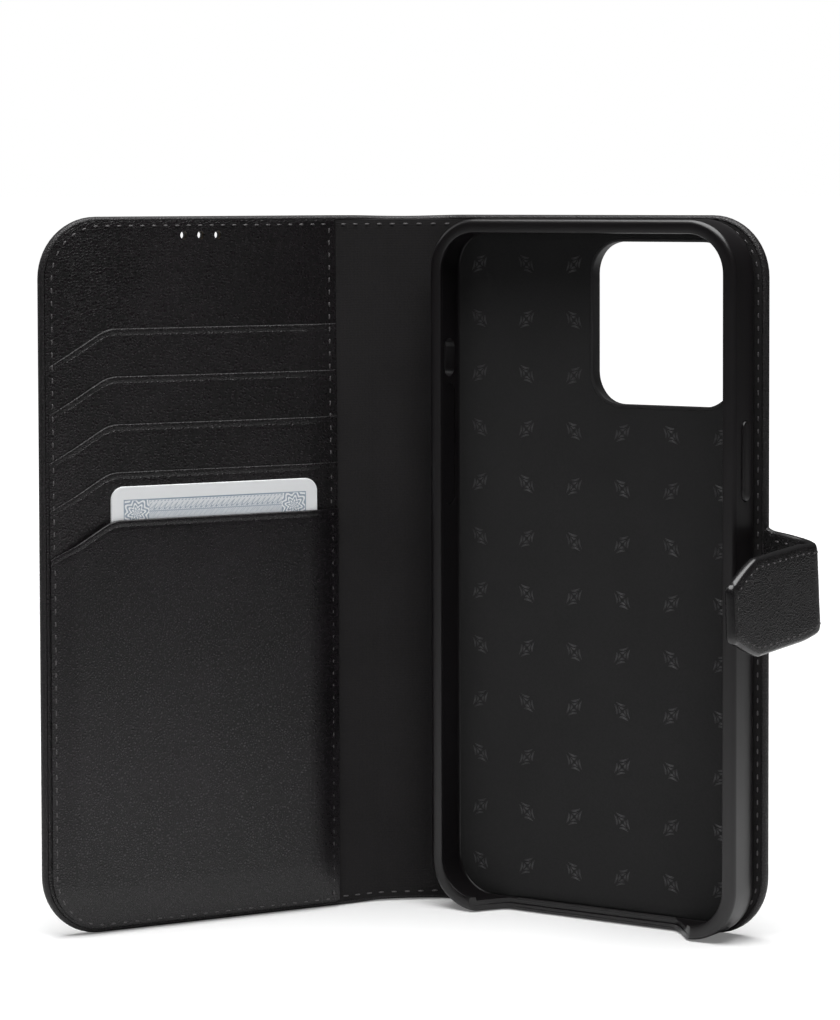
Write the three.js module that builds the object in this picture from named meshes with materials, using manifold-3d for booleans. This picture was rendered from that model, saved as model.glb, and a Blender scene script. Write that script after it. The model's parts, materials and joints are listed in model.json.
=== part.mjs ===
// A leather wallet case for a large phone: two covers and a spine that fold like a book,
// a moulded phone tray on the back cover, five card slots on the front cover and a
// magnetic closing tab. Millimetres, +Z up. The back cover stands in the X-Z plane and
// faces -Y; Z = 0 is its bottom edge, X = 0 the middle of the phone, and Y = 0 the
// middle of the cover's thickness.
import * as THREE from "three";
import { mergeVertices } from "three/addons/utils/BufferGeometryUtils.js";
import Module from "manifold-3d";

const wasm = await Module();
wasm.setup();

// Covers
const TOP_BORDER = 0.9; // covers beyond the tray, at the top
const FOOT_BORDER = 0.3; // and at the bottom
const SIDE_BORDER = 2.3; // back cover beyond the tray, at its free edge
const CREASE_BORDER = 1.8; // tray to the back crease
const FRONT_OVERHANG = 1; // how much wider the front cover is than the back one
const CLOSED_CLEAR = 2.95; // tray to the pockets, when closed
const COVER_CORNER = 14.4;
const LEATHER = 1.2; // outer leather
const BOARD = 1.0; // stiffener
const LINING = 0.6;
const HEM = 1.4; // turned edge of the outer leather
const GLUE = 0.05; // bond line between layers
const CREASE_GAP = 0.3; // each cover stops this far from its crease
const BACK_FOLD = 41; // degrees, spine against back cover, as it stands
const FRONT_FOLD = 21; // degrees, front cover against spine, as it stands

// Phone tray
const PHONE_WIDTH = 78.1;
const PHONE_HEIGHT = 160.8;
const PHONE_DEPTH = 7.85;
const PHONE_SLACK = 0.15; // beside the phone, and under the lip
const PHONE_END_SLACK = 0.75; // above and below it
const TRAY_WALL = 2.5;
const TRAY_FLOOR = 1.0;
const TRAY_LIP = 1.3; // thickness of the lip over the phone
const LIP_REACH = 0.8; // how far the lip reaches over the phone
const TRAY_ROUND = 1.3; // rounding of the tray's outer edges, front and back
const TRAY_CORNER = 12.5;
const SUEDE = 0.45; // floor lining
const PORT_TOP = 57; // width of the gap in the bottom wall, at the lip
const PORT_FOOT = 45; // and at its foot
const PORT_SILL = 2.9; // height of the wall that is left under it

// Camera opening
const CAMERA_SIDE = 3; // tray's inner wall to the opening
const CAMERA_TOP = 2.9; // tray's inner end to the opening
const CAMERA_WIDTH = 37.4;
const CAMERA_HEIGHT = 38.5;
const CAMERA_CORNER = 7.6;
const CAMERA_RING = 0.8;

// Keys in the tray's walls
const KEY_WIDTH = 3.5;
const KEY_CLEAR = 0.2;
const KEY_FLANGE = 0.7; // how far the flange stands out round the key
const KEY_FLANGE_THICK = 0.7;
const KEY_PROUD = 0.5;
const KEY_BEHIND = 0.2; // room between the flange's back and the phone's side
const KEY_PLAY = 0.35; // room in front of the flange, for the rocker to tip
const POWER_LENGTH = 18.6;
const POWER_ABOVE = 28.05; // key's middle above the tray's middle
const VOLUME_LENGTH = 28;
const VOLUME_ABOVE = 29.05;
const SWITCH_LENGTH = 9.3;
const SWITCH_WIDTH = 4.6;
const SWITCH_ABOVE = 50.05;

// Pockets and card
const POCKET_MARGIN = 11.5; // crease to the pockets' edge
const POCKET_SHEET = 0.4;
const POCKET_COUNT = 5;
const POCKET_BELOW_TOP = 26.2; // cover's top edge to the highest pocket's
const POCKET_STEP = 11.2;
const POCKET_SLOPE = 16.5; // cover's free edge to where a pocket's top edge turns down
const POCKET_DROP = 9.8;
const POCKET_BOTTOM = 1.7;
const OUTER_POCKET_SKIN = 0.5;
const CARD_WIDTH = 54;
const CARD_LENGTH = 85.6;
const CARD_THICK = 0.8;
const CARD_CORNER = 3.2;
const CARD_SIDE = 6.6; // pockets' edge to the card
const CARD_SHOWS = 7.8; // how far the card stands out of its pocket
const CARD_CLEAR = 0.35; // beside and below the card
const SPEAKER_RADIUS = 1.0;
const SPEAKER_PITCH = 4.45;
const SPEAKER_MIDDLE = 41.1; // cover's free edge to the middle hole
const SPEAKER_BELOW_TOP = 4.5;

// Closing tab
const TAB_WIDTH = 22;
const TAB_SKIN = 1.15; // each of its two layers
const TAB_HINGE = 2.3; // back cover's edge to the tab's first bend
const TAB_OVER_TRAY = 0.4; // folded tab to the tray's lip
const TAB_OVER_FRONT = 0.7; // closed tab to the front cover
const TAB_FLAP = 29.7; // end flap
const TAB_SWING = 4; // degrees, first link turned forward
const TAB_BEND = 90; // degrees, second link against the first
const TAB_DROOP_ROOT = 1.8;
const TAB_DROOP_SIDE = 0.5;
const TAB_DROOP_FLAP = 1.0;
const TAB_END_SLOPE = 11;
const TAB_END_NARROW = 5.8;
const TONGUE_LENGTH = 11; // sewn into the back cover
const TONGUE_THICK = 0.9;
const MAGNET = 12;
const MAGNET_THICK = 1.0;
const MAGNET_FROM_END = 7;
const CATCH = 16; // steel plate in the front cover
const CATCH_THICK = 0.8;

// What follows from them; each cover's inner face is y = 0 and its outer face y = COVER
const COVER = LINING + BOARD + LEATHER;
const BOARD_IN = LINING + GLUE;
const LEATHER_IN = LINING + BOARD;
const SOFT_IN = HEM + GLUE; // inset of what lies inside the hem
const CAVITY_W = PHONE_WIDTH + 2 * PHONE_SLACK;
const CAVITY_H = PHONE_HEIGHT + 2 * PHONE_END_SLACK;
const TRAY_W = CAVITY_W + 2 * TRAY_WALL;
const TRAY_H = CAVITY_H + 2 * TRAY_WALL;
const COVER_HEIGHT = TRAY_H + TOP_BORDER + FOOT_BORDER;
const MIDDLE = COVER_HEIGHT / 2;
const TRAY_MIDDLE = FOOT_BORDER + TRAY_H / 2;
const BACK_EDGE = TRAY_W / 2 + SIDE_BORDER; // from the middle of the phone
const BACK_CREASE = TRAY_W / 2 + CREASE_BORDER; // from the middle of the phone
const FRONT_WIDTH = BACK_CREASE + BACK_EDGE + FRONT_OVERHANG;
const FLOOR_Y = -GLUE - TRAY_FLOOR;
const BED_Y = FLOOR_Y - SUEDE;
const LIP_IN_Y = BED_Y - PHONE_DEPTH - PHONE_SLACK;
const TRAY_Y = LIP_IN_Y - TRAY_LIP;
const KEY_Y = (BED_Y + LIP_IN_Y) / 2;
const POWER_Z = TRAY_MIDDLE + POWER_ABOVE;
const VOLUME_Z = TRAY_MIDDLE + VOLUME_ABOVE;
const SWITCH_Z = TRAY_MIDDLE + SWITCH_ABOVE;
const SLOT_DEPTH = CARD_THICK + 2 * GLUE;
const POCKETS =
  (POCKET_COUNT - 1) * (POCKET_SHEET + GLUE) + GLUE + SLOT_DEPTH + OUTER_POCKET_SKIN;
const SPINE_WIDTH = POCKETS + CLOSED_CLEAR - TRAY_Y;
const POCKET_TOP = COVER_HEIGHT - POCKET_BELOW_TOP;
const CARD_BOTTOM =
  POCKET_TOP - POCKET_STEP * (POCKET_COUNT - 1) - CARD_LENGTH + CARD_SHOWS;
const TAB_ROOT = TAB_OVER_TRAY - TRAY_Y; // first link
const TAB_SIDE = SPINE_WIDTH + COVER + TAB_OVER_FRONT - TAB_ROOT; // second link
const deg = THREE.MathUtils.degToRad;

const leather = { color: 0x0b0b0c, roughness: 0.42, metalness: 0 };
const softLeather = { color: 0x0d0c0d, roughness: 0.5, metalness: 0 };
const microfibre = { color: 0x0a0a0a, roughness: 0.95, metalness: 0 };
const plastic = { color: 0x111012, roughness: 0.38, metalness: 0 };
const board = { color: 0x6b5b48, roughness: 0.9, metalness: 0 };
const steel = { color: 0x9a9a9c, roughness: 0.35, metalness: 1 };
const magnetic = { color: 0x8e8e92, roughness: 0.3, metalness: 1 };
const white = { color: 0xe9eaec, roughness: 0.35, metalness: 0 };

function mesh(name, geometry, look) {
  const made = new THREE.Mesh(geometry, new THREE.MeshStandardMaterial(look));
  made.name = name;
  return made;
}

function group(x, turn, ...children) {
  const made = new THREE.Group();
  made.position.x = x;
  made.rotation.z = deg(turn);
  made.add(...children);
  return made;
}

// A rectangle from (x0, z0) to (x1, z1) whose corners have the radii given, in the order
// bottom left, bottom right, top right, top left.
function rectangle(x0, z0, x1, z1, radii = [0, 0, 0, 0], Kind = THREE.Shape) {
  const [a, b, c, d] = radii;
  const s = new Kind();
  s.moveTo(x0 + a, z0);
  s.lineTo(x1 - b, z0);
  if (b) s.absarc(x1 - b, z0 + b, b, -Math.PI / 2, 0);
  s.lineTo(x1, z1 - c);
  if (c) s.absarc(x1 - c, z1 - c, c, 0, Math.PI / 2);
  s.lineTo(x0 + d, z1);
  if (d) s.absarc(x0 + d, z1 - d, d, Math.PI / 2, Math.PI);
  s.lineTo(x0, z0 + a);
  if (a) s.absarc(x0 + a, z0 + a, a, Math.PI, Math.PI * 1.5);
  return s;
}

const even = (r) => [r, r, r, r];

// A rounded rectangle w by h about (x, z)
const pill = (x, z, w, h, r, Kind) =>
  rectangle(x - w / 2, z - h / 2, x + w / 2, z + h / 2, even(r), Kind);

// A flat piece whose outline lies in X-Z, from y0 to y1
function sheet(shape, y0, y1, segments = 8) {
  const options = { depth: y1 - y0, bevelEnabled: false, curveSegments: segments };
  return new THREE.ExtrudeGeometry(shape, options)
    .rotateX(Math.PI / 2)
    .translate(0, y1, 0);
}

// A key or slot whose outline lies in Y-Z, from x0 to x1
function keyBlock(z, width, length, x0, x1) {
  const options = { depth: x1 - x0, bevelEnabled: false, curveSegments: 6 };
  return new THREE.ExtrudeGeometry(pill(0, 0, width, length, width / 2 - 0.01), options)
    .rotateX(Math.PI / 2)
    .rotateZ(Math.PI / 2)
    .translate(x0, KEY_Y, z);
}

function block(x0, x1, y0, y1, z0, z1) {
  const size = new THREE.BoxGeometry(x1 - x0, y1 - y0, z1 - z0);
  return size.translate((x0 + x1) / 2, (y0 + y1) / 2, (z0 + z1) / 2);
}

function solid(geometry) {
  const bare = geometry.clone().deleteAttribute("normal").deleteAttribute("uv");
  const merged = mergeVertices(bare, 1e-5);
  return new wasm.Manifold(
    new wasm.Mesh({
      numProp: 3,
      vertProperties: new Float32Array(merged.attributes.position.array),
      triVerts: new Uint32Array(merged.index.array),
    }),
  );
}

function cut(base, ...tools) {
  let left = solid(base);
  for (const tool of tools) left = left.subtract(solid(tool));
  const { vertProperties, triVerts } = left.getMesh();
  const made = new THREE.BufferGeometry();
  made.setAttribute("position", new THREE.BufferAttribute(vertProperties, 3));
  made.setIndex(new THREE.BufferAttribute(triVerts, 1));
  made.computeVertexNormals();
  return made;
}

// Outline of a cover between its crease and its free edge, both measured from x = 0
// towards `side` (-1 is left, 1 is right), drawn `inset` inside the cover's edges
function coverOutline(side, near, far, inset) {
  const r = COVER_CORNER - inset;
  const x = [side * near, side * (far - inset)];
  const radii = side < 0 ? [r, 0, 0, r] : [0, r, r, 0];
  return rectangle(Math.min(...x), inset, Math.max(...x), COVER_HEIGHT - inset, radii);
}

// Outer leather: a panel with its hem turned over the inner layers, open at the crease
const leatherPanel = (outline, inside) =>
  cut(sheet(outline, 0, COVER), sheet(inside, -1, LEATHER_IN));

// --- Back cover -------------------------------------------------------------------
const cameraX = CAVITY_W / 2 - CAMERA_SIDE - CAMERA_WIDTH / 2;
const cameraZ = TRAY_MIDDLE + CAVITY_H / 2 - CAMERA_TOP - CAMERA_HEIGHT / 2;
const cameraShape = (grow, Kind) =>
  pill(
    cameraX,
    cameraZ,
    CAMERA_WIDTH + 2 * grow,
    CAMERA_HEIGHT + 2 * grow,
    CAMERA_CORNER + grow,
    Kind,
  );
const withCamera = (shape) => {
  shape.holes.push(cameraShape(CAMERA_RING + GLUE, THREE.Path));
  return shape;
};

// The back cover's outline starts at the crease, at x = -BACK_CREASE
const backOutline = (inset) => {
  const r = COVER_CORNER - inset;
  const left = -BACK_CREASE + CREASE_GAP;
  const top = COVER_HEIGHT - inset;
  return rectangle(left, inset, BACK_EDGE - inset, top, [0, r, r, 0]);
};

const tongueX = BACK_EDGE - TONGUE_LENGTH;
const tongueEnd = BACK_EDGE + TAB_HINGE - CREASE_GAP;
const tongueY = LINING + (BOARD - TONGUE_THICK) / 2;
const tongueSlot = block(
  tongueX - GLUE,
  BACK_EDGE + 1,
  tongueY - GLUE,
  tongueY + TONGUE_THICK + GLUE,
  MIDDLE - TAB_WIDTH / 2 - GLUE,
  MIDDLE + TAB_WIDTH / 2 + GLUE,
);
const boardNotch = block(
  tongueX - GLUE,
  BACK_EDGE + 1,
  -1,
  COVER + 1,
  MIDDLE - TAB_WIDTH / 2 - GLUE,
  MIDDLE + TAB_WIDTH / 2 + GLUE,
);

const backCover = [
  mesh(
    "back_leather",
    cut(
      sheet(withCamera(backOutline(0)), 0, COVER),
      sheet(rectangle(-BACK_CREASE, HEM, BACK_EDGE - HEM, COVER_HEIGHT - HEM, [
        0,
        COVER_CORNER - HEM,
        COVER_CORNER - HEM,
        0,
      ]), -1, LEATHER_IN),
      tongueSlot,
    ),
    leather,
  ),
  mesh(
    "back_board",
    cut(sheet(withCamera(backOutline(SOFT_IN)), BOARD_IN, LEATHER_IN - GLUE), boardNotch),
    board,
  ),
  mesh("back_lining", sheet(withCamera(backOutline(SOFT_IN)), 0, LINING), softLeather),
];

// --- Phone tray -------------------------------------------------------------------
// Slab w by h with its front and back edges rounded, from y0 back to y1
function roundedSlab(w, h, corner, y0, y1, round) {
  const options = {
    depth: y1 - y0 - 2 * round,
    bevelEnabled: true,
    bevelThickness: round,
    bevelSize: round,
    bevelOffset: -round,
    bevelSegments: 4,
    curveSegments: 8,
  };
  return new THREE.ExtrudeGeometry(pill(0, 0, w, h, corner), options)
    .rotateX(Math.PI / 2)
    .translate(0, y1 - round, TRAY_MIDDLE);
}

const flat = (w, h, corner, y0, y1) => sheet(pill(0, TRAY_MIDDLE, w, h, corner), y0, y1);
const lipW = CAVITY_W - 2 * LIP_REACH;
const lipH = CAVITY_H - 2 * LIP_REACH;

// Gap in the bottom wall, wider at the lip than at its foot
function portGap(sill, z0, z1) {
  const s = new THREE.Shape();
  s.moveTo(-PORT_TOP / 2, TRAY_Y - 1);
  s.lineTo(-PORT_TOP / 2, TRAY_Y + TRAY_ROUND);
  s.lineTo(-PORT_FOOT / 2, -sill);
  s.lineTo(PORT_FOOT / 2, -sill);
  s.lineTo(PORT_TOP / 2, TRAY_Y + TRAY_ROUND);
  s.lineTo(PORT_TOP / 2, TRAY_Y - 1);
  const depth = z1 - z0;
  return new THREE.ExtrudeGeometry(s, { depth, bevelEnabled: false }).translate(0, 0, z0);
}

const wallIn = CAVITY_W / 2;
const wallOut = TRAY_W / 2;
const keyBack = wallIn + KEY_BEHIND;
const flangeSeat = keyBack + KEY_FLANGE_THICK + KEY_PLAY; // depth of the flange's recess
const lipFoot = TRAY_MIDDLE - lipH / 2 + 1; // clear of the bottom wall and its lip

const keyHole = (side, z, length) => {
  const at = (a, b) => (side > 0 ? [a, b] : [-b, -a]);
  const flange = 2 * (KEY_FLANGE + KEY_CLEAR);
  return [
    keyBlock(z, KEY_WIDTH + 2 * KEY_CLEAR, length + 2 * KEY_CLEAR, ...at(wallIn, wallOut + 1)),
    keyBlock(z, KEY_WIDTH + flange, length + flange, ...at(wallIn - 1, flangeSeat)),
  ];
};

const phoneShell = mesh(
  "phone_shell",
  cut(
    roundedSlab(TRAY_W, TRAY_H, TRAY_CORNER, TRAY_Y, -GLUE, TRAY_ROUND),
    flat(CAVITY_W, CAVITY_H, TRAY_CORNER - TRAY_WALL, LIP_IN_Y, FLOOR_Y),
    flat(lipW, lipH, TRAY_CORNER - TRAY_WALL - LIP_REACH, TRAY_Y - 1, LIP_IN_Y + 0.2),
    sheet(cameraShape(CAMERA_RING + GLUE), FLOOR_Y - 1, 1),
    portGap(PORT_SILL, FOOT_BORDER - 1, lipFoot),
    portGap(PORT_SILL - 0.9, FOOT_BORDER + TRAY_WALL * 0.6, lipFoot),
    keyBlock(SWITCH_Z, SWITCH_WIDTH, SWITCH_LENGTH, -wallOut - 1, -wallIn + 1),
    ...keyHole(1, POWER_Z, POWER_LENGTH),
    ...keyHole(-1, VOLUME_Z, VOLUME_LENGTH),
  ),
  plastic,
);

const suedeShape = pill(
  0,
  TRAY_MIDDLE,
  CAVITY_W - 0.6,
  CAVITY_H - 0.6,
  TRAY_CORNER - TRAY_WALL - 0.3,
);
const shellLining = mesh(
  "shell_lining",
  sheet(withCamera(suedeShape), BED_Y, FLOOR_Y - GLUE),
  microfibre,
);

const ringShape = cameraShape(CAMERA_RING);
ringShape.holes.push(cameraShape(0, THREE.Path));
const cameraSurround = mesh("camera_surround", sheet(ringShape, BED_Y, COVER), plastic);

// A key: a pill through the wall with a flange inside it, made with its back at x = 0
function key(length) {
  const through = wallOut - keyBack - KEY_FLANGE_THICK + KEY_PROUD;
  const w = KEY_WIDTH + 2 * KEY_FLANGE;
  const l = length + 2 * KEY_FLANGE;
  const thick = KEY_FLANGE_THICK;
  const whole = keyBlock(0, w, l, 0, thick + through);
  const trim = cut(
    keyBlock(0, w + 2, l + 2, thick, thick + through + 1),
    keyBlock(0, KEY_WIDTH, length, -1, thick + through + 2),
  );
  return cut(whole, trim).translate(0, -KEY_Y, 0);
}

const keyMesh = (name, side, z, length) => {
  const made = mesh(name, key(length), plastic);
  made.position.set(side * keyBack, KEY_Y, z);
  if (side < 0) made.rotation.z = Math.PI;
  return made;
};
const powerButton = keyMesh("power_button", 1, POWER_Z, POWER_LENGTH);
const volumeRocker = keyMesh("volume_rocker", -1, VOLUME_Z, VOLUME_LENGTH);

// --- Closing tab ------------------------------------------------------------------
const tabAnchor = mesh(
  "tab_anchor",
  block(
    tongueX,
    tongueEnd,
    tongueY,
    tongueY + TONGUE_THICK,
    MIDDLE - TAB_WIDTH / 2,
    MIDDLE + TAB_WIDTH / 2,
  ),
  softLeather,
);

// A link of the tab from x = 0 to `length`, its middle falling from z0 by `droop`
function linkShape(length, z0, droop) {
  const half = TAB_WIDTH / 2;
  const a = CREASE_GAP;
  const b = length - CREASE_GAP;
  const z = (x) => z0 - (droop * x) / length;
  const s = new THREE.Shape();
  s.moveTo(a, z(a) - half);
  s.lineTo(b, z(b) - half);
  s.lineTo(b, z(b) + half);
  s.lineTo(a, z(a) + half);
  return s;
}

// The end flap narrows to a blunt rounded end
function flapShape(length, z0, droop) {
  const half = TAB_WIDTH / 2;
  const end = half - TAB_END_NARROW;
  const soft = 2.5;
  const a = CREASE_GAP;
  const z = (x) => z0 - (droop * x) / length;
  const slope = length - TAB_END_SLOPE;
  const s = new THREE.Shape();
  s.moveTo(a, z(a) - half);
  s.lineTo(slope - soft, z(slope) - half);
  s.quadraticCurveTo(slope, z(slope) - half, slope + soft, z(slope) - half + soft / 2);
  s.lineTo(length - soft, z(length) - end - soft / 2);
  s.quadraticCurveTo(length, z(length) - end, length, z(length) - end + soft);
  s.lineTo(length, z(length) + end - soft);
  s.quadraticCurveTo(length, z(length) + end, length - soft, z(length) + end + soft / 2);
  s.lineTo(slope + soft, z(slope) + half - soft / 2);
  s.quadraticCurveTo(slope, z(slope) + half, slope - soft, z(slope) + half);
  s.lineTo(a, z(a) + half);
  return s;
}

const TAB = 2 * TAB_SKIN + GLUE;
const bendZ = MIDDLE - TAB_DROOP_ROOT;
const foldZ = bendZ - TAB_DROOP_SIDE;
const layers = (name, shape) => [
  mesh(name + "_lining", sheet(shape, 0, TAB_SKIN, 4), softLeather),
  mesh(name + "_leather", sheet(shape, TAB_SKIN + GLUE, TAB, 4), leather),
];
const magnetX = TAB_FLAP - MAGNET_FROM_END - MAGNET / 2;
const magnetZ = foldZ - (TAB_DROOP_FLAP * magnetX) / TAB_FLAP;
const magnetBlock = (grow) =>
  block(
    magnetX - MAGNET / 2 - grow,
    magnetX + MAGNET / 2 + grow,
    TAB / 2 - MAGNET_THICK / 2 - grow,
    TAB / 2 + MAGNET_THICK / 2 + grow,
    magnetZ - MAGNET / 2 - grow,
    magnetZ + MAGNET / 2 + grow,
  );
const flap = layers("tab_flap", flapShape(TAB_FLAP, foldZ, TAB_DROOP_FLAP));
for (const skin of flap) skin.geometry = cut(skin.geometry, magnetBlock(GLUE));

const tab = group(
  BACK_EDGE + TAB_HINGE,
  -TAB_SWING,
  ...layers("tab_root", linkShape(TAB_ROOT, MIDDLE, TAB_DROOP_ROOT)),
  group(
    TAB_ROOT,
    -TAB_BEND,
    ...layers("tab_side", linkShape(TAB_SIDE, bendZ, TAB_DROOP_SIDE)),
    group(TAB_SIDE, 0, ...flap, mesh("tab_magnet", magnetBlock(0), magnetic)),
  ),
);

// --- Spine ------------------------------------------------------------------------
const strip = (inset) =>
  rectangle(-SPINE_WIDTH + CREASE_GAP, inset, -CREASE_GAP, COVER_HEIGHT - inset);
const spine = [
  mesh(
    "spine_leather",
    leatherPanel(strip(0), rectangle(-SPINE_WIDTH, HEM, 0, COVER_HEIGHT - HEM)),
    leather,
  ),
  mesh("spine_board", sheet(strip(SOFT_IN), BOARD_IN, LEATHER_IN - GLUE), board),
  mesh("spine_lining", sheet(strip(SOFT_IN), 0, LINING), microfibre),
];

// --- Front cover ------------------------------------------------------------------
const frontOutline = (inset, near = CREASE_GAP) =>
  coverOutline(-1, near, FRONT_WIDTH, inset);
const speakerZ = COVER_HEIGHT - SPEAKER_BELOW_TOP;
const withSpeaker = (shape) => {
  for (const k of [-1, 0, 1]) {
    const hole = new THREE.Path();
    const x = SPEAKER_MIDDLE - FRONT_WIDTH + k * SPEAKER_PITCH;
    hole.absarc(x, speakerZ, SPEAKER_RADIUS, 0, Math.PI * 2, true);
    shape.holes.push(hole);
  }
  return shape;
};

// The steel plate sits where the closed tab's magnet lands
const closedEdge = BACK_EDGE + TAB_HINGE + BACK_CREASE; // crease to the closed tab's fold
const catchX = -(closedEdge - magnetX);
const catchShape = (grow, Kind) =>
  pill(catchX, magnetZ, CATCH + 2 * grow, CATCH + 2 * grow, 2, Kind);
const boardShape = withSpeaker(frontOutline(SOFT_IN));
boardShape.holes.push(catchShape(GLUE * 2, THREE.Path));
const catchY = LINING + (BOARD - CATCH_THICK) / 2;

// A pocket panel: its top edge runs level from the inner side, then slopes down to the
// cover's free edge
function pocketShape(top) {
  const right = -POCKET_MARGIN - GLUE;
  const left = -FRONT_WIDTH + SOFT_IN + 0.3;
  const bend = POCKET_SLOPE - FRONT_WIDTH;
  const fall = (POCKET_DROP * (bend - left)) / POCKET_SLOPE;
  const r = COVER_CORNER - SOFT_IN - 0.3;
  const s = new THREE.Shape();
  s.moveTo(left + r, POCKET_BOTTOM);
  s.lineTo(right, POCKET_BOTTOM);
  s.lineTo(right, top);
  s.lineTo(bend + 3, top);
  s.quadraticCurveTo(bend, top, bend - 2.4, top - (fall * 2.4) / (bend - left));
  s.lineTo(left, top - fall);
  s.lineTo(left, POCKET_BOTTOM + r);
  s.absarc(left + r, POCKET_BOTTOM + r, r, Math.PI, Math.PI * 1.5);
  return s;
}

const pockets = [];
let layerY = 0;
for (let k = 0; k < POCKET_COUNT - 1; k++) {
  const shape = pocketShape(POCKET_TOP - POCKET_STEP * k);
  const name = "card_pocket_" + (k + 1);
  const back = layerY - GLUE;
  pockets.push(mesh(name, sheet(shape, back - POCKET_SHEET, back, 6), softLeather));
  layerY = back - POCKET_SHEET;
}
const cardRight = -POCKET_MARGIN - CARD_SIDE;
const slotBack = layerY - GLUE;
const slotFront = slotBack - SLOT_DEPTH;
pockets.push(
  mesh(
    "card_pocket_" + POCKET_COUNT,
    cut(
      sheet(
        pocketShape(POCKET_TOP - POCKET_STEP * (POCKET_COUNT - 1)),
        slotFront - OUTER_POCKET_SKIN,
        slotBack,
        6,
      ),
      block(
        cardRight - CARD_WIDTH - CARD_CLEAR,
        cardRight + CARD_CLEAR,
        slotFront,
        slotBack + 1,
        CARD_BOTTOM - CARD_CLEAR,
        COVER_HEIGHT,
      ),
    ),
    softLeather,
  ),
);
const card = mesh(
  "card",
  sheet(
    pill(
      cardRight - CARD_WIDTH / 2,
      CARD_BOTTOM + CARD_LENGTH / 2,
      CARD_WIDTH,
      CARD_LENGTH,
      CARD_CORNER,
    ),
    slotFront + GLUE,
    slotBack - GLUE,
    5,
  ),
  white,
);

const frontCover = [
  mesh(
    "front_leather",
    leatherPanel(withSpeaker(frontOutline(0)), coverOutline(-1, 0, FRONT_WIDTH, HEM)),
    leather,
  ),
  mesh("front_board", sheet(boardShape, BOARD_IN, LEATHER_IN - GLUE), board),
  mesh(
    "front_steel_plate",
    sheet(catchShape(0), catchY, catchY + CATCH_THICK, 4),
    steel,
  ),
  mesh(
    "pocket_base",
    sheet(withSpeaker(frontOutline(SOFT_IN, POCKET_MARGIN + GLUE)), 0, LINING),
    softLeather,
  ),
  mesh(
    "front_hinge_lining",
    sheet(
      rectangle(
        -POCKET_MARGIN + GLUE,
        SOFT_IN,
        -CREASE_GAP,
        COVER_HEIGHT - SOFT_IN,
      ),
      0,
      LINING,
    ),
    microfibre,
  ),
  ...pockets,
  card,
];

const walletCase = new THREE.Group();
walletCase.position.y = -COVER / 2;
walletCase.add(
  ...backCover,
  phoneShell,
  shellLining,
  cameraSurround,
  powerButton,
  volumeRocker,
  tabAnchor,
  tab,
  group(
    -BACK_CREASE,
    BACK_FOLD,
    ...spine,
    group(-SPINE_WIDTH, FRONT_FOLD, ...frontCover),
  ),
);

const part = new THREE.Group();
part.add(walletCase);

export default part;
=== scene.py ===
"""Looks for the phone wallet case: leather covers, pockets, phone tray and closing tab."""
import bmesh
import bpy
import json
import math
from mathutils import Matrix, Vector, noise


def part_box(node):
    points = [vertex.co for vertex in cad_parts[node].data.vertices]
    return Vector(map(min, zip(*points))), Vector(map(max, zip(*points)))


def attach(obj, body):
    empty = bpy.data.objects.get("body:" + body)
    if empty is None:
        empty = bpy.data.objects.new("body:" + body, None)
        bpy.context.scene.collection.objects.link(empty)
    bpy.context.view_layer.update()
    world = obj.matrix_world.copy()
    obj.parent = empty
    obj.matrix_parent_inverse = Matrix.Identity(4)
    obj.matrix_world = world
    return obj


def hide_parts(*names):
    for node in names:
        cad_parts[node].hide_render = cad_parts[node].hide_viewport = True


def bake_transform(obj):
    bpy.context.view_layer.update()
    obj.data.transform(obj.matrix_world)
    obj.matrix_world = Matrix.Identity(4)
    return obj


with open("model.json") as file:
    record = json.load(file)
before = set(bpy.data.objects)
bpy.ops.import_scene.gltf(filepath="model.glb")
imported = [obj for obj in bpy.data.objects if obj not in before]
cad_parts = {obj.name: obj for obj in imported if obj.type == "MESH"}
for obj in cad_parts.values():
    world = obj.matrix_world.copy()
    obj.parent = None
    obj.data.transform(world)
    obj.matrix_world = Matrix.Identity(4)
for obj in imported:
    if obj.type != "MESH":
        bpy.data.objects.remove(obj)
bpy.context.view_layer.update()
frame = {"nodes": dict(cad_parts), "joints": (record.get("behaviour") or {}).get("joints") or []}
MM = 0.001

# ---------------- sizes, millimetres
JOINTS = {j["name"]: j for j in frame["joints"]}


def node_box(name):
    low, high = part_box(name)
    return [v / MM for v in low], [v / MM for v in high]


def joint_xy(name):
    x, y, _ = JOINTS[name]["pos_m"]
    return x / MM, y / MM


BACK_LOW, BACK_HIGH = node_box("back_leather")
FACE_Y = BACK_LOW[1]  # the covers' inner face
COVER = BACK_HIGH[1] - BACK_LOW[1]
HEIGHT = BACK_HIGH[2]
MIDDLE = HEIGHT / 2
CREASE_X = joint_xy("back_crease")[0]
BACK_WIDTH = BACK_HIGH[0] - CREASE_X
SPINE = math.dist(joint_xy("back_crease"), joint_xy("front_crease"))
BACK_FOLD = math.radians(-JOINTS["back_crease"]["range_deg"][0])
FRONT_FOLD = math.radians(-JOINTS["front_crease"]["range_deg"][0])
FRONT_WIDTH = BACK_WIDTH + 1
CORNER = 14.4
HEM = 0.98  # width of the turned edge seen on the inside
LINING = 0.6
SHELL_LOW, SHELL_HIGH = node_box("phone_shell")
SHELL_W = SHELL_HIGH[0] - SHELL_LOW[0]
SHELL_R = 12.5
WALL = 2.5
LIP = 3.3  # outer wall to the edge of the lip over the phone
TRAY_MIDDLE = (SHELL_LOW[2] + SHELL_HIGH[2]) / 2
SHELL_TOP = SHELL_LOW[1] - FACE_Y  # the lip, measured from the inner face
LIP_ROUND = 1.25
POCKET_X = 11.5  # front crease to the pockets' edge
CAMERA_LOW, CAMERA_HIGH = node_box("camera_surround")


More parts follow.
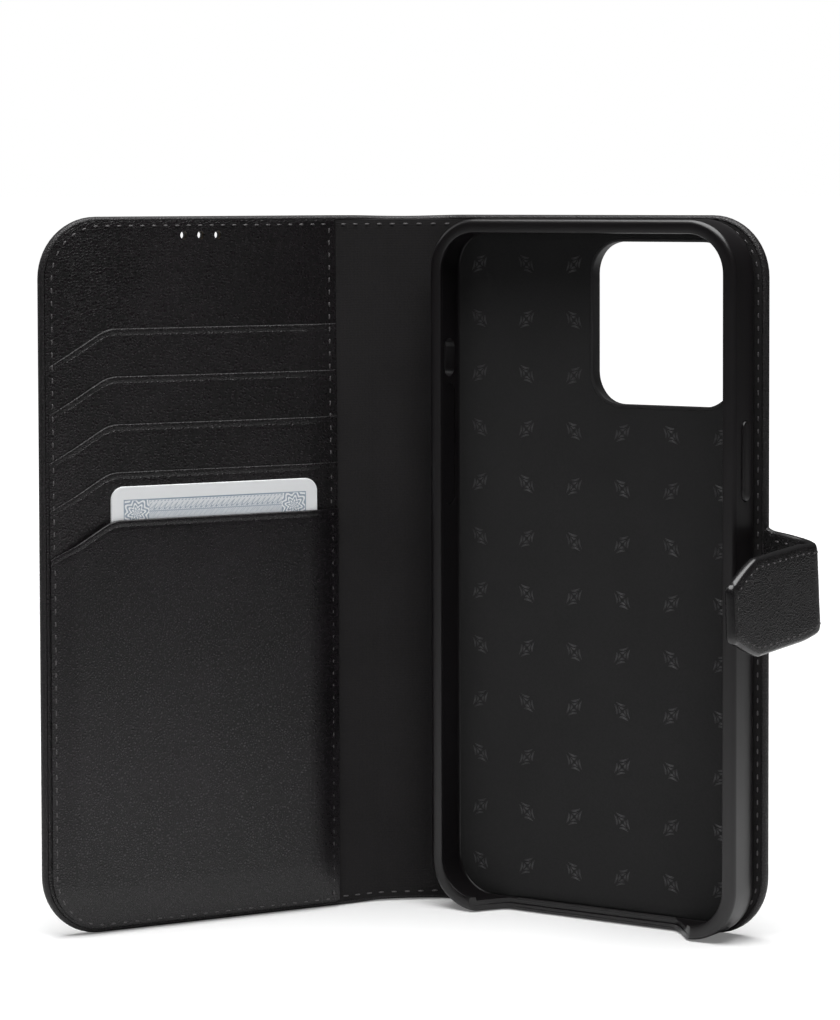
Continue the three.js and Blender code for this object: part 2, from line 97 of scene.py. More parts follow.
# ---------------- folding the flat case
class Bend:
    """Where a flat strip goes when it is folded. Distances run along the strip."""

    def __init__(self, start, heading, side, bends):
        # bends: (distance, angle, radius); the strip turns towards its inner side
        self.start, self.heading, self.side, self.bends = start, heading, side, bends

    def at(self, u, y, z):
        """World point, in millimetres, of the flat point u along, y outward, z up."""
        x0, y0 = self.start
        angle = self.heading
        travelled = 0.0
        for where, turn, radius in self.bends:
            t = radius * math.tan(abs(turn) / 2)
            sign = 1 if turn > 0 else -1
            if u <= where - t:
                break
            run = where - t - travelled
            x0 += run * math.cos(angle)
            y0 += run * math.sin(angle)
            cx = x0 - sign * radius * math.sin(angle)
            cy = y0 + sign * radius * math.cos(angle)
            inside = u < where + t
            angle += turn * (u - (where - t)) / (2 * t) if inside else turn
            x0 = cx + sign * radius * math.sin(angle)
            y0 = cy - sign * radius * math.cos(angle)
            if inside:
                return self._out(x0, y0, angle, y, z)
            travelled = where + t
        run = u - travelled
        return self._out(
            x0 + run * math.cos(angle), y0 + run * math.sin(angle), angle, y, z
        )

    def _out(self, x, y, angle, off, z):
        nx, ny = -self.side * math.sin(angle), self.side * math.cos(angle)
        return Vector((x + nx * off, y + ny * off, z))


# The case: u = 0 at the back cover's free edge, growing to the front cover's free edge.
# Heading is along -X, so its left-hand side faces -Y (inside); outward is the other side.
CASE = Bend(
    (BACK_HIGH[0], FACE_Y),
    math.pi,
    -1,
    [
        (BACK_WIDTH, BACK_FOLD, 8.0),
        (BACK_WIDTH + SPINE, FRONT_FOLD, 14.0),
    ],
)
MID_SPINE = BACK_WIDTH + SPINE / 2
CREASE_REACH = 3.5  # reach each side of a crease; blend() works out its ends but does not use them
FRONT_CREASE = BACK_WIDTH + SPINE
CASE_WIDTH = FRONT_CREASE + FRONT_WIDTH

TAB_START = 33.0
TAB_HINGE_X = joint_xy("tab_swing")[0]
TAB_LINK = math.dist(joint_xy("tab_swing"), joint_xy("tab_unbend"))
TAB_SIDE = math.dist(joint_xy("tab_unbend"), joint_xy("tab_fold"))
SWING = math.radians(-JOINTS["tab_swing"]["range_deg"][0])
TAB_A = TAB_HINGE_X - TAB_START
TAB_B = TAB_A + TAB_LINK
TAB_C = TAB_B + TAB_SIDE
TAB_END = TAB_C + 30.4
TAB_HALF = 11.0
TAB_POINT = 11.0  # length of the narrowing end
TAB_NARROW = 5.3  # how much each side comes in over it
TAB_THICK = 2.35
TAB_MID = 1.1  # middle of its thickness
TAB_ROLL = 0.04  # radians
TAB = Bend(
    (TAB_START, FACE_Y),
    0.0,
    1,
    [(TAB_A, -SWING, 6.0), (TAB_B, -math.pi / 2, 5.2)],
)


def in_scene(name, data):
    """A new object that holds data, in the scene."""
    obj = bpy.data.objects.new(name, data)
    bpy.context.scene.collection.objects.link(obj)
    return obj


# ---------------- materials
def new_material(name, **values):
    """A material, its nodes and its shader, with those numbers on the shader's sockets."""
    mat = bpy.data.materials.new(name)
    mat.use_nodes = True
    shader = mat.node_tree.nodes["Principled BSDF"]
    for key, value in values.items():
        shader.inputs[key.replace("_", " ")].default_value = value
    return mat, Nodes(mat.node_tree), shader


class Nodes:
    """Short way to add shader nodes and links."""

    def __init__(self, tree):
        self.tree = tree

    def add(self, kind, **values):
        node = self.tree.nodes.new(kind)
        for key, value in values.items():
            if key.startswith("in_"):
                node.inputs[key[3:].replace("_", " ")].default_value = value
            else:
                setattr(node, key, value)
        return node

    def link(self, a, b):
        self.tree.links.new(a, b)

    def math(self, op, a, b=None, c=None):
        node = self.add("ShaderNodeMath", operation=op)
        for k, v in enumerate((a, b, c)):
            if v is None:
                continue
            if isinstance(v, (int, float)):
                node.inputs[k].default_value = v
            else:
                self.link(v, node.inputs[k])
        return node.outputs[0]

    def times(self, a, b):
        return self.math("MULTIPLY", a, b)

    def step(self, value, low, high, to_low=0.0, to_high=1.0):
        """Smooth rise from to_low to to_high as value goes from low to high."""
        node = self.add("ShaderNodeMapRange", interpolation_type="SMOOTHSTEP")
        self.link(value, node.inputs["Value"])
        for key, number in zip(
            ("From Min", "From Max", "To Min", "To Max"), (low, high, to_low, to_high)
        ):
            node.inputs[key].default_value = number
        return node.outputs[0]

    def noise(self, where, scale, detail, **more):
        node = self.add("ShaderNodeTexNoise", in_Scale=scale, in_Detail=detail, **more)
        self.link(where, node.inputs["Vector"])
        return node.outputs["Fac"]

    def bump(self, height, strength, distance, shader):
        """Bump of a depth in millimetres, into the shader's normal."""
        node = self.add("ShaderNodeBump", in_Strength=strength, in_Distance=distance * MM)
        self.link(height, node.inputs["Height"])
        self.link(node.outputs["Normal"], shader.inputs["Normal"])

    def ramp(self, value, stops):
        node = self.add("ShaderNodeValToRGB")
        self.link(value, node.inputs["Fac"])
        ramp = node.color_ramp
        while len(ramp.elements) < len(stops):
            ramp.elements.new(0.5)
        for element, (at, colour) in zip(ramp.elements, stops):
            element.position = at
            element.color = (*colour, 1)
        return node.outputs["Color"]


def grey(v, tint=(1, 1, 1)):
    return tuple(v * t for t in tint)


def leather(name, base, rough, cell, depth):
    """Pebbled leather: pebbles `cell` millimetres across, `depth` millimetres deep."""
    mat, n, shader = new_material(name, Specular_IOR_Level=0.5)
    where = n.add("ShaderNodeTexCoord").outputs["Object"]
    warp = n.add("ShaderNodeTexNoise", in_Scale=700.0, in_Detail=2.0)
    n.link(where, warp.inputs["Vector"])
    mix = n.add("ShaderNodeVectorMath", operation="MULTIPLY_ADD")
    n.link(warp.outputs["Color"], mix.inputs[0])
    mix.inputs[1].default_value = (0.0006, 0.0006, 0.0006)
    n.link(where, mix.inputs[2])
    cells = n.add(
        "ShaderNodeTexVoronoi", feature="DISTANCE_TO_EDGE", in_Scale=1000.0 / cell
    )
    n.link(mix.outputs[0], cells.inputs["Vector"])
    fine = n.noise(where, 2400.0, 3.0, in_Roughness=0.65)
    broad = n.noise(where, 38.0, 3.0)
    pebble = n.math("SMOOTH_MIN", cells.outputs["Distance"], 0.3, 0.2)
    high = n.math("MULTIPLY_ADD", fine, 0.25, n.times(pebble, 3.2))
    n.bump(high, 1.0, depth, shader)
    # The colour follows the pebbles and random noise. Pebble tops are painted lighter, a painted
    # highlight where the top light glints, and the valleys between them darker, painted shade; the
    # noise is the leather's own random tone.
    tone = n.math("MULTIPLY_ADD", pebble, 1.1, 0.14)
    tone = n.math("MULTIPLY_ADD", fine, 0.9, tone)
    tone = n.math("SUBTRACT", tone, 0.42)
    tone = n.math("MULTIPLY_ADD", broad, 0.3, tone)
    colour = n.ramp(tone, [(0.36, grey(0.02, base)), (0.62, grey(4.4, base))])
    n.link(colour, shader.inputs["Base Color"])
    shine = n.math("MULTIPLY_ADD", pebble, -0.8, rough + 0.15)
    shine = n.math("MULTIPLY_ADD", broad, 0.1, shine)
    n.link(shine, shader.inputs["Roughness"])
    return mat


def cloth(name, base, pitch, depth, sheen, weave=True):
    """Microfibre with a fine woven line, on the piece's flat coordinates."""
    mat, n, shader = new_material(
        name, Roughness=0.92, Specular_IOR_Level=0.25, Sheen_Weight=sheen, Sheen_Roughness=0.55
    )
    flat = n.add("ShaderNodeUVMap", uv_map="flat").outputs["UV"]
    where = n.add("ShaderNodeTexCoord").outputs["Object"]
    fuzz = n.noise(where, 2600.0, 3.0)
    broad = n.noise(where, 60.0, 2.0)
    high = fuzz
    if weave:
        parts = n.add("ShaderNodeSeparateXYZ")
        n.link(flat, parts.inputs[0])
        k = 2 * math.pi / pitch * 1000
        rows = n.math("SINE", n.times(parts.outputs["Y"], k))
        across = n.math("SINE", n.times(parts.outputs["X"], k * 0.62))
        woven = n.math("MULTIPLY_ADD", rows, 0.16, n.times(across, 0.08))
        high = n.math("MULTIPLY_ADD", fuzz, 1.1, woven)
    n.bump(high, 0.8, depth, shader)
    tone = n.math("MULTIPLY_ADD", fuzz, 0.55, 0.2)
    tone = n.math("MULTIPLY_ADD", broad, 0.35, tone)
    colour = n.ramp(tone, [(0.3, grey(0.5, base)), (0.95, grey(1.7, base))])
    n.link(colour, shader.inputs["Base Color"])
    return mat


def moulded(name, base, rough, texture=0.012):
    """Soft-touch moulded plastic with a fine spark-eroded texture."""
    mat, n, shader = new_material(name, Coat_Weight=0.12, Coat_Roughness=0.22)
    where = n.add("ShaderNodeTexCoord").outputs["Object"]
    broad = n.noise(where, 24.0, 2.0)
    n.bump(n.noise(where, 3400.0, 2.0), 0.6, texture, shader)
    colour = n.ramp(broad, [(0.3, grey(0.85, base)), (0.7, grey(1.2, base))])
    n.link(colour, shader.inputs["Base Color"])
    shine = n.math("MULTIPLY_ADD", broad, 0.1, rough - 0.05)
    n.link(shine, shader.inputs["Roughness"])
    return mat


def plain(name, base, rough, metallic=0.0, scale=900.0, spread=0.2):
    """Small or hidden pieces: one colour with a little noise in tone and gloss."""
    mat, n, shader = new_material(name, Metallic=metallic)
    where = n.add("ShaderNodeTexCoord").outputs["Object"]
    fine = n.noise(where, scale, 3.0)
    stops = [(0.3, grey(1 - spread, base)), (0.7, grey(1 + spread, base))]
    n.link(n.ramp(fine, stops), shader.inputs["Base Color"])
    shine = n.math("MULTIPLY_ADD", fine, 0.15, rough - 0.07)
    n.link(shine, shader.inputs["Roughness"])
    n.bump(fine, 0.3, 0.02, shader)
    return mat


def card_print(width, length):
    """White plastic with a generic geometric border in pale blue-grey."""
    mat, n, shader = new_material(
        "card_print", Roughness=0.32, Coat_Weight=0.3, Coat_Roughness=0.12
    )
    parts = n.add("ShaderNodeSeparateXYZ")
    n.link(n.add("ShaderNodeUVMap", uv_map="flat").outputs["UV"], parts.inputs[0])
    x = n.times(parts.outputs["X"], 1000.0)  # from the card's middle, mm
    y = n.times(parts.outputs["Y"], 1000.0)
    dx = n.math("SUBTRACT", width / 2, n.math("ABSOLUTE", x))
    dy = n.math("SUBTRACT", length / 2, n.math("ABSOLUTE", y))
    edge = n.math("MINIMUM", dx, dy)  # distance in from the card's edge

    def between(value, low, high, soft=0.06):
        up = n.step(value, low - soft, low + soft)
        return n.math("SUBTRACT", up, n.step(value, high - soft, high + soft))

    outer = between(edge, 3.1, 3.4)
    inner = between(edge, 5.9, 6.15)
    band = between(edge, 3.4, 5.9)
    along = n.math("ADD", x, y)
    wave = n.math("SINE", n.times(along, 2 * math.pi / 2.7))
    scallop = n.math("MULTIPLY_ADD", n.math("ABSOLUTE", wave), -1.5, edge)
    arcs = between(scallop, 3.9, 4.3, 0.12)
    hatch = n.math("SINE", n.times(along, 2 * math.pi / 0.55))
    hatch = n.times(n.math("GREATER_THAN", hatch, 0.1), between(scallop, 4.3, 6.0))
    beads = n.math("SINE", n.times(along, 2 * math.pi / 0.9))
    beads = n.times(n.math("GREATER_THAN", beads, 0.2), between(edge, 3.5, 3.8))
    corner = n.math("MAXIMUM", dx, dy)
    block = n.times(between(edge, 3.3, 9.6), between(corner, 3.3, 9.6))
    cx = n.math("SUBTRACT", dx, 6.4)
    cy = n.math("SUBTRACT", dy, 6.4)
    r2 = n.math("ADD", n.times(cx, cx), n.times(cy, cy))
    radius = n.math("SQRT", r2)
    petals = n.math("SINE", n.times(n.math("ARCTAN2", cy, cx), 8.0))
    rosette = n.math("MULTIPLY_ADD", petals, 0.42, radius)
    rings = n.math("SINE", n.times(rosette, 2 * math.pi / 1.05))
    rings = n.times(n.math("GREATER_THAN", rings, 0.0), block)
    ink = outer
    for layer, strength in ((inner, 0.8), (arcs, 0.9), (hatch, 0.55), (beads, 0.7), (band, 0.16)):
        ink = n.math("MAXIMUM", ink, n.times(layer, strength))
    clear = n.math("SUBTRACT", 1.0, block)
    field = n.times(n.times(between(edge, 6.2, 60.0), clear), 0.3)
    ink = n.math("MAXIMUM", n.times(ink, clear), n.times(rings, 0.85))
    ink = n.math("MAXIMUM", ink, field)
    white, blue = (0.97, 0.985, 1.0), (0.26, 0.34, 0.44)
    n.link(n.ramp(ink, [(0.0, white), (1.0, blue)]), shader.inputs["Base Color"])
    return mat


BLACK = (0.0029, 0.0021, 0.0026)
OUTER = leather("outer_leather", BLACK, 0.42, 0.7, 0.07)
INNER = leather("inner_leather", BLACK, 0.28, 0.7, 0.06)
SMOOTH = leather("pocket_leather", (0.0032, 0.0024, 0.0031), 0.25, 0.6, 0.035)
STRAP = leather("strap_leather", (0.0023, 0.0018, 0.0021), 0.3, 0.6, 0.07)
PAINT = moulded("painted_edge", (0.012, 0.0115, 0.012), 0.26, 0.008)
FIBRE = cloth("microfibre", (0.0122, 0.0112, 0.0117), 0.62, 0.05, 0.06)
SUEDE = cloth("microsuede", (0.0098, 0.0096, 0.0099), 0.5, 0.03, 0.12, weave=False)
PLASTIC = moulded("moulded_plastic", (0.0066, 0.0055, 0.0062), 0.34)
MATT = moulded("matt_plastic", (0.0098, 0.0092, 0.0098), 0.55, 0.02)
FOIL = plain("embossed_line", (0.04, 0.039, 0.041), 0.42)
THREAD = plain("thread", (0.085, 0.08, 0.082), 0.45, scale=3000.0)
CARDBOARD = plain("stiffener_board", (0.16, 0.12, 0.08), 0.9)
STEEL = plain("catch_steel", (0.5, 0.5, 0.5), 0.35, 1.0)
MAGNET = plain("magnet_plating", (0.55, 0.55, 0.57), 0.25, 1.0)


# ---------------- mesh helpers
def rounded(x0, z0, x1, z1, radii, steps=12):
    """Closed anticlockwise outline; radii bottom left, bottom right, top right, top left."""
    points = []
    corners = [
        (x0, z0, radii[0], math.pi),
        (x1, z0, radii[1], 1.5 * math.pi),
        (x1, z1, radii[2], 0.0),
        (x0, z1, radii[3], 0.5 * math.pi),
    ]
    for x, z, r, start in corners:
        if r <= 0:
            points.append((x, z))
            continue
        cx = x + r if x == x0 else x - r
        cz = z + r if z == z0 else z - r
        for k in range(steps + 1):
            a = start + 0.5 * math.pi * k / steps
            points.append((cx + r * math.cos(a), cz + r * math.sin(a)))
    return points


def inset(points, d):
    """The outline moved in by d, vertex by vertex."""
    if d == 0:
        return list(points)
    out = []
    count = len(points)
    for k in range(count):
        a, b, c = points[k - 1], points[k], points[(k + 1) % count]
        e0 = Vector((b[0] - a[0], b[1] - a[1]))
        e1 = Vector((c[0] - b[0], c[1] - b[1]))
        if e0.length < 1e-6:
            e0 = e1
        if e1.length < 1e-6:
            e1 = e0
        n0 = Vector((-e0.y, e0.x)).normalized()
        n1 = Vector((-e1.y, e1.x)).normalized()
        m = n0 + n1
        scale = 2 * d / max(m.length_squared, 0.4)
        out.append((b[0] + m.x * scale, b[1] + m.y * scale))
    return out


def loft(loops, caps=True, closed=False):
    """Joins loops of 3-D points, in order, into a skin."""
    bm = bmesh.new()
    rows = [[bm.verts.new(p) for p in loop] for loop in loops]
    pairs = list(zip(rows, rows[1:]))
    if closed:
        pairs.append((rows[-1], rows[0]))
    for a, b in pairs:
        for k in range(len(a)):
            j = (k + 1) % len(a)
            bm.faces.new((a[k], a[j], b[j], b[k]))
    if caps and not closed:
        bm.faces.new(list(reversed(rows[0])))
        bm.faces.new(rows[-1])
    bmesh.ops.recalc_face_normals(bm, faces=bm.faces)
    return bm


def slab(outline, stations):
    """A flat piece: its outline drawn at each (inset, y), with a face at both ends."""
    loops = [[(x, y, z) for x, z in inset(outline, d)] for d, y in stations]
    return loft(loops)


def carve(bm, tools):
    """Cuts solids from a solid, with Blender's exact boolean."""
    mesh = bpy.data.meshes.new("carve")
    bm.to_mesh(mesh)
    bm.free()
    base = in_scene("carve", mesh)
    made = [base]
    for tool in tools:
        tool_mesh = bpy.data.meshes.new("tool")
        tool.to_mesh(tool_mesh)
        tool.free()
        ob = in_scene("tool", tool_mesh)
        made.append(ob)
        mod = base.modifiers.new("cut", "BOOLEAN")
        mod.operation, mod.solver, mod.object = "DIFFERENCE", "EXACT", ob
    graph = bpy.context.evaluated_depsgraph_get()
    result = bmesh.new()
    result.from_mesh(base.evaluated_get(graph).to_mesh())
    for ob in made:
        data = ob.data
        bpy.data.objects.remove(ob)
        bpy.data.meshes.remove(data)
    return result


def slices(bm, axis, places):
    """Cuts every face at the places along axis, so that it can bend there."""
    normal = [0, 0, 0]
    normal[axis] = 1
    for at in places:
        point = [0, 0, 0]
        point[axis] = at
        geometry = bm.verts[:] + bm.edges[:] + bm.faces[:]
        bmesh.ops.bisect_plane(
            bm, geom=geometry, plane_co=point, plane_no=normal, dist=1e-5
        )


def keep_between(bm, low, high):
    """A copy of bm between two places along X, its cut ends closed."""
    part = bm.copy()
    for at, outward in ((low, -1), (high, 1)):
        if at is None:
            continue
        geometry = part.verts[:] + part.edges[:] + part.faces[:]
        cut = bmesh.ops.bisect_plane(
            part,
            geom=geometry,
            plane_co=(at, 0, 0),
            plane_no=(outward, 0, 0),
            clear_outer=True,
            dist=1e-5,
        )
        edges = [e for e in cut["geom_cut"] if isinstance(e, bmesh.types.BMEdge)]
        edges = [e for e in edges if e.is_boundary]
        if edges:
            bmesh.ops.edgeloop_fill(part, edges=edges)
    return part


def spaced(low, high, step):
    count = max(1, round((high - low) / step))
    return [low + (high - low) * k / count for k in range(count + 1)]


def link_object(name, bm, *materials):
    """Turns millimetres into metres and puts the mesh in the scene."""
    for v in bm.verts:
        v.co *= MM
    mesh = bpy.data.meshes.new(name)
    bm.to_mesh(mesh)
    bm.free()
    for material in materials:
        mesh.materials.append(material)
    return in_scene(name, mesh)


def stand_for(obj, slot, *nodes):
    """Hides those CAD nodes, so that obj stands in their place; obj and slot are not used."""
    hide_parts(*nodes)


def piece(name, bm, material, place=None, smooth=38.0, body=None, edge=None):
    """Makes the object: flat coordinates go in a UV map, then place() puts it in space."""
    uv = bm.loops.layers.uv.new("flat")
    for face in bm.faces:
        face.smooth = True
        if edge and edge(face.calc_center_median()):
            face.material_index = 1
        for loop in face.loops:
            co = loop.vert.co
            loop[uv].uv = (co.x * MM, co.z * MM)
    if place:
        for v in bm.verts:
            v.co = place(v.co.x, v.co.y, v.co.z)
    bmesh.ops.recalc_face_normals(bm, faces=bm.faces)
    limit = math.radians(smooth)
    for e in bm.edges:
        if len(e.link_faces) == 2:
            e.smooth = e.calc_face_angle(0.0) < limit
    obj = link_object(name, bm, *((material, PAINT) if edge else (material,)))
    if body:
        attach(obj, body)
    return obj


def blend(obj, bend, middle, reach, off=1.4):
    """Bakes obj's transform into its mesh. The ends of the reach to each side of a place along the
    strip are worked out but not used: obj does not bend.
    """
    start, end = (
        tuple(v * MM for v in bend.at(u, off, MIDDLE)) for u in (middle - reach, middle + reach)
    )
    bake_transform(obj)


def across_crease(obj, a):
    """Hands obj to blend() at the crease beside body a; obj does not bend."""
    crease = BACK_WIDTH if a == "back_cover" else FRONT_CREASE
    blend(obj, CASE, crease, CREASE_REACH)


def split_at_spine(solid, names, material, slot, back_nodes, front_nodes):
    """Makes the back and front halves of a skin that runs across both creases."""
    for name, low, high, a, b, nodes in (
        (names[0], None, MID_SPINE, "back_cover", "spine", back_nodes),
        (names[1], MID_SPINE, None, "spine", "front_cover", front_nodes),
    ):
        part = piece(name, keep_between(solid, low, high), material, CASE.at)
        stand_for(part, slot, *nodes)
        across_crease(part, a)
    solid.free()


def soft(u, z, size, amount):
    return amount * noise.noise(Vector((u / size, z / size, 3.7)))


def fade(value, width):
    t = min(1.0, abs(value) / width)
    return (1 - t * t) ** 2


# ---------------- covers
camera_hole = rounded(
    CAMERA_LOW[0], CAMERA_LOW[2], CAMERA_HIGH[0], CAMERA_HIGH[2], [8.4] * 4, 12
)


def through(points, y0=-4.0, y1=6.0):
    return loft([[(x, y, z) for x, z in points] for y in (y0, y1)])


def flat_u(points):
    """Outline in X turned into distance from the back cover's free edge."""
    return [(BACK_HIGH[0] - x, z) for x, z in reversed(points)]


def circle(x, z, r, steps=20):
    turn = 2 * math.pi / steps
    return [(x + r * math.cos(k * turn), z + r * math.sin(k * turn)) for k in range(steps)]


SPEAKER_S, SPEAKER_PITCH, SPEAKER_DOWN = 47.4, 4.45, 4.5
SPEAKER = [
    (FRONT_CREASE + SPEAKER_S + k * SPEAKER_PITCH, HEIGHT - SPEAKER_DOWN) for k in (-1, 0, 1)
]
case_outline = rounded(0, 0, CASE_WIDTH, HEIGHT, [CORNER] * 4, 14)
HEM_PROFILE = [
    (6.0, 1.62), (1.6, 1.62), (HEM, 1.5), (HEM, 0.04), (0.9, 0.0), (0.7, 0.02),
    (0.44, 0.14), (0.2, 0.42), (0.05, 0.85), (0.0, 1.3), (0.02, 1.7), (0.1, 2.05),
    (0.26, 2.35), (0.6, 2.62), (1.1, 2.77), (1.7, COVER), (6.0, COVER),
]
skin = slab(case_outline, HEM_PROFILE)
holes = [flat_u(camera_hole)] + [circle(x, z, 1.05) for x, z in SPEAKER]
skin = carve(skin, [through(outline) for outline in holes])
bends = spaced(BACK_WIDTH - 4.5, FRONT_CREASE + 4.5, 0.6)
slices(skin, 0, spaced(3, BACK_WIDTH - 6, 6) + bends + spaced(FRONT_CREASE + 6, CASE_WIDTH - 3, 6))
slices(skin, 2, spaced(4, HEIGHT - 4, 8))
for v in skin.verts:
    u, y, z = v.co
    near_edge = min(u, CASE_WIDTH - u, z, HEIGHT - z)
    if y > 2.2:
        groove = fade(u - BACK_WIDTH, 2.6) + fade(u - FRONT_CREASE, 2.6)
        v.co.y -= 0.75 * groove
        v.co.y += soft(u, z, 26, 0.12) * min(1.0, near_edge / 6)
    thin = fade(u - (MID_SPINE + 2), 15)
    if near_edge < 2.5 and y < 1.2:
        v.co.y += 0.3 * thin
    v.co.z += (MIDDLE - z) / MIDDLE * 0.25 * thin * (near_edge < 6)

split_at_spine(
    skin, ("cover_leather_back", "cover_leather_front"), OUTER, "outer_leather",
    ("back_leather",), ("front_leather", "spine_leather"),
)

# Inner lining: one sheet from under the pockets, over the spine, round the phone tray
LINING_IN = 1.0
lining_outline = rounded(
    LINING_IN, LINING_IN, FRONT_CREASE + POCKET_X + 1.5, HEIGHT - LINING_IN,
    [CORNER - LINING_IN, 0.4, 0.4, CORNER - LINING_IN], 14,
)
THIN_EDGE = [(0.3, LINING), (0.12, LINING), (0.0, 0.45), (0.0, 0.18), (0.1, 0.04), (0.3, 0.0)]
inner = slab(lining_outline, THIN_EDGE)
inner = carve(inner, [through(flat_u(camera_hole))])
slices(inner, 0, spaced(6, BACK_WIDTH - 6, 9) + bends)
slices(inner, 2, spaced(4, HEIGHT - 4, 8))
for v in inner.verts:
    u, y, z = v.co
    if y < 0.3:
        if BACK_WIDTH - 5 < u < FRONT_CREASE + 10:
            v.co.y += soft(u, z, 9, 0.1) * min(1.0, (FRONT_CREASE + 10 - u) / 3)
        elif u > FRONT_CREASE + 10.6:
            v.co.y += 0.12
split_at_spine(
    inner, ("lining_back", "lining_front"), FIBRE, "microfibre",
    ("back_lining",), ("spine_lining", "front_hinge_lining"),
)


# ---------------- pockets
def front_at(s, y, z):
    """Front cover: s from its crease towards its free edge, y outward."""
    return CASE.at(FRONT_CREASE + s, y, z)


base_outline = rounded(
    POCKET_X, LINING_IN, FRONT_WIDTH - LINING_IN, HEIGHT - LINING_IN,
    [0.3, CORNER - LINING_IN, CORNER - LINING_IN, 0.3], 14,
)
BASE_Y = -0.14  # face of the panel behind the pockets
# The insets stay under the square corners' 0.3 mm radius
base = slab(base_outline, [(0.2, LINING), (0.0, 0.5), (0.0, 0.1), (0.08, -0.07), (0.28, BASE_Y)])
base = carve(base, [through(circle(x - FRONT_CREASE, z, 1.0)) for x, z in SPEAKER])
base_piece = piece("pocket_back_panel", base, INNER, front_at, body="front_cover")
stand_for(base_piece, "inner_leather", "pocket_base")

POCKET_EDGE = 1.75  # cover's free edge to the pockets
POCKET_LEFT = FRONT_WIDTH - POCKET_EDGE
POCKET_TOP = 142.3
POCKET_STEP = 11.2
SLOPE_RUN = 16.5
SLOPE_AT = FRONT_WIDTH - SLOPE_RUN
SLOPE_DROP = 9.8
POCKET_FOOT = 1.7
FOOT_R = CORNER - POCKET_EDGE
PARED = 6.8  # width of the pared border


def top_edge(s, top):
    """Height of a pocket's top edge: level, a soft bend, then sloping down."""
    slope = SLOPE_DROP / SLOPE_RUN
    x = s - SLOPE_AT
    soft_width = 2.2
    if x <= -soft_width:
        return top
    if x >= soft_width:
        return top - slope * x
    return top - slope * (x + soft_width) ** 2 / (4 * soft_width)


def foot_edge(s):
    over = s - (POCKET_LEFT - FOOT_R)
    if over <= 0:
        return POCKET_FOOT
    over = min(over, FOOT_R)
    return POCKET_FOOT + FOOT_R - math.sqrt(max(0.0, FOOT_R**2 - over**2))


def thinned(s, z):
    """The pocket leather is pared thin towards its stitched edges."""
    inward = min(s - POCKET_X, POCKET_LEFT - s, z - foot_edge(s))
    t = min(1.0, max(0.0, inward / PARED))
    return 0.3 + 0.7 * t * t * (3 - 2 * t)


def pared(s, y, z):
    return BASE_Y + (y - BASE_Y) * thinned(s, z)


# Distance below the top edge, and how far the face stands back there: a rounded cut
# edge, then a tooled crease line
TOP_PROFILE = [
    (0.0, 0.30), (0.05, 0.12), (0.16, 0.02), (0.35, -0.03), (0.7, -0.03), (1.1, 0.0),
    (1.28, 0.05), (1.42, 0.13), (1.56, 0.05), (1.75, 0.0), (2.6, -0.02), (5.0, 0.0),
]


def pocket(name, top, front, back, bulge, material, closed=None):
    """Front and back faces as grids that follow the sloping top edge. The back face stands
    at `back`, and at `closed` along the stitched edges."""
    closed = back if closed is None else closed
    columns = spaced(POCKET_X, SLOPE_AT - 3, 3.2)
    columns += spaced(SLOPE_AT - 2.4, SLOPE_AT + 2.4, 0.6)
    columns += spaced(SLOPE_AT + 3.2, POCKET_LEFT - FOOT_R * 0.5, 1.6)
    columns += [POCKET_LEFT - FOOT_R * (1 - math.sin(a)) for a in spaced(0.62, 1.57, 0.12)]
    columns = sorted(set(round(c, 4) for c in columns))
    columns[-1] = POCKET_LEFT
    columns.insert(1, POCKET_X + 0.12)
    columns.insert(2, POCKET_X + 0.4)
    columns.insert(-1, POCKET_LEFT - 0.12)
    columns.insert(-2, POCKET_LEFT - 0.4)
    columns = sorted(columns)
    rows = 26
    bm = bmesh.new()
    grids = []
    for side in (0, 1):
        grid = []
        for s in columns:
            high, low = top_edge(s, top), foot_edge(s)
            edge_drop = min(s - POCKET_X, POCKET_LEFT - s)
            rim = 0.22 * max(0.0, 1 - edge_drop / 0.4) ** 2
            line = []
            for d, back_off in TOP_PROFILE:
                line.append((high - d, back_off))
            last = high - TOP_PROFILE[-1][0]
            for k in range(1, rows + 1):
                t = k / rows
                z = last + (low - last) * t
                foot = max(0.0, 1 - (z - low) / 0.4) ** 2 * 0.22
                line.append((z, foot))
            column = []
            for z, back_off in line:
                if side == 0:
                    y = front + back_off + rim
                    inside = min(edge_drop, z - low, (high - z) + 4) / 14
                    y -= bulge * min(1.0, max(0.0, inside)) ** 0.7
                    y += soft(s, z, 17, 0.05)
                    y = min(y, back - 0.04)
                else:
                    gape = min(1.0, max(0.0, (min(edge_drop, z - low) - 0.8) / 3.5))
                    y = closed + (back - closed) * gape
                column.append(bm.verts.new((s, pared(s, y, z), z)))
            grid.append(column)
        grids.append(grid)
    front_grid, back_grid = grids
    for grid in grids:
        for a, b in zip(grid, grid[1:]):
            for k in range(len(a) - 1):
                bm.faces.new((a[k], a[k + 1], b[k + 1], b[k]))
    for f, g in ((front_grid[0], back_grid[0]), (front_grid[-1], back_grid[-1])):
        for k in range(len(f) - 1):
            bm.faces.new((f[k], f[k + 1], g[k + 1], g[k]))
    for end in (0, -1):
        for a, b, c, d in zip(front_grid, front_grid[1:], back_grid, back_grid[1:]):
            bm.faces.new((a[end], b[end], d[end], c[end]))
    bmesh.ops.recalc_face_normals(bm, faces=bm.faces)
    return piece(name, bm, material, front_at, smooth=50, body="front_cover")


